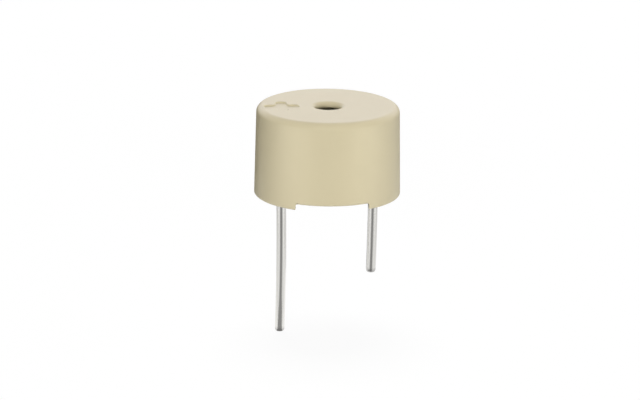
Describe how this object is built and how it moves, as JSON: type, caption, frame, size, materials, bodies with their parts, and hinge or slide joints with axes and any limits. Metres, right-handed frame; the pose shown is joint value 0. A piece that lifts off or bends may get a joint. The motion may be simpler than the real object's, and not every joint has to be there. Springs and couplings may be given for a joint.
{
  "type": "micro buzzer",
  "caption": "Small round buzzer for a circuit board: moulded beige can with a rounded sound port, a long positive and a short negative lead, and a resin-sealed magnetic drive inside.",
  "frame": {"origin": "on the can's axis, in the plane that its feet stand on, midway between the two leads", "axes": "+Z along the can's axis, out of the sound port; -X towards the long positive lead, +X towards the short negative lead"},
  "size_m": [0.012, 0.012, 0.0193],
  "materials": {
    "housing_plastic": "fine satin moulding, warm beige",
    "tinned_metal": "bright tin plate with faint drawing lines",
    "sealing_resin": "poured black resin with a soft gloss",
    "board_laminate": "glass-fibre laminate",
    "copper": "bare copper foil",
    "black_moulding": "matte moulding compound",
    "chip_ceramic": "dark glazed chip",
    "solder": "smooth solder",
    "enamelled_copper": "glossy enamel over copper wire",
    "soft_iron": "plated soft iron",
    "magnet_ferrite": "pressed dark grey magnet",
    "ring_plastic": "plain moulding",
    "spring_steel": "rolled steel"
  },
  "bodies": {
    "root": {"housing": "housing_plastic", "positive_lead": "tinned_metal", "negative_lead": "tinned_metal", "sealing_resin": "sealing_resin", "circuit_board": "board_laminate", "copper_tracks": "copper", "transistor_body": "black_moulding", "transistor_leads": "tinned_metal", "resistor_body": "chip_ceramic", "resistor_caps": "tinned_metal", "lead_solder_joints": "solder", "coil_solder_joints": "solder", "coil_wires": "enamelled_copper", "coil": "enamelled_copper", "pole_core": "soft_iron", "yoke_plate": "soft_iron", "ring_magnet": "magnet_ferrite", "diaphragm_ring": "ring_plastic", "diaphragm": "spring_steel", "armature_disc": "spring_steel"}
  },
  "joints": []
}
